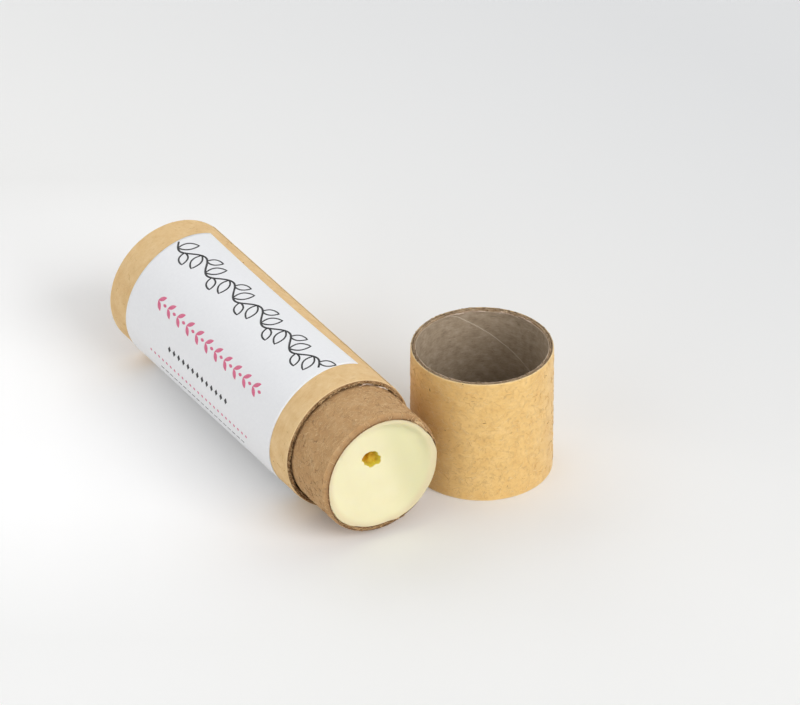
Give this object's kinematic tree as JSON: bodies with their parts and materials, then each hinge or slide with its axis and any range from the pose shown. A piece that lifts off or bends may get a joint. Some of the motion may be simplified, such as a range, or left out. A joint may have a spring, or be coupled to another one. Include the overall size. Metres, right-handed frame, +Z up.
{
  "type": "lip balm stick",
  "caption": "Push-up lip balm stick in a kraft paper tube, lying down, with its push-fit cap standing beside it mouth up.",
  "frame": {"origin": "middle of the footprint of the tube and the cap together, on the surface they rest on", "axes": "+X along the tube from its base towards the open end, +Y from the tube towards the cap beside it, +Z up"},
  "size_m": [0.0654, 0.0456, 0.0221],
  "materials": {
    "kraft_wrap": "matte",
    "grey_board": "matte",
    "label_paper": "matte",
    "neck_kraft": "matte",
    "greaseproof_paper": "satin",
    "balm_wax": "satin",
    "cap_lining_paper": "matte"
  },
  "bodies": {
    "tube": {"tube_wrap": "kraft_wrap", "tube_outer_ply": "grey_board", "tube_inner_ply": "grey_board", "tube_lining": "grey_board", "label": "label_paper", "neck_wrap": "neck_kraft", "neck_outer_ply": "grey_board", "neck_inner_ply": "grey_board", "neck_lining": "neck_kraft"},
    "pusher": {"base_cover": "kraft_wrap", "piston_disc": "grey_board", "piston_ring": "grey_board", "balm_seal": "greaseproof_paper", "balm": "balm_wax"},
    "cap": {"cap_wrap": "kraft_wrap", "cap_outer_ply": "grey_board", "cap_inner_ply": "grey_board", "cap_lining": "cap_lining_paper", "cap_end_disc": "grey_board", "cap_end_cover": "kraft_wrap", "cap_end_lining": "cap_lining_paper"}
  },
  "joints": [
    {"name": "push_up", "type": "slide", "parent": "tube", "child": "pusher", "axis": [1, 0, 0], "range_m": [0, 0.05304]},
    {"name": "cap_lift", "type": "slide", "parent": "tube", "child": "cap", "axis": [0, 0, 1], "range_m": [0, 0.03]}
  ]
}
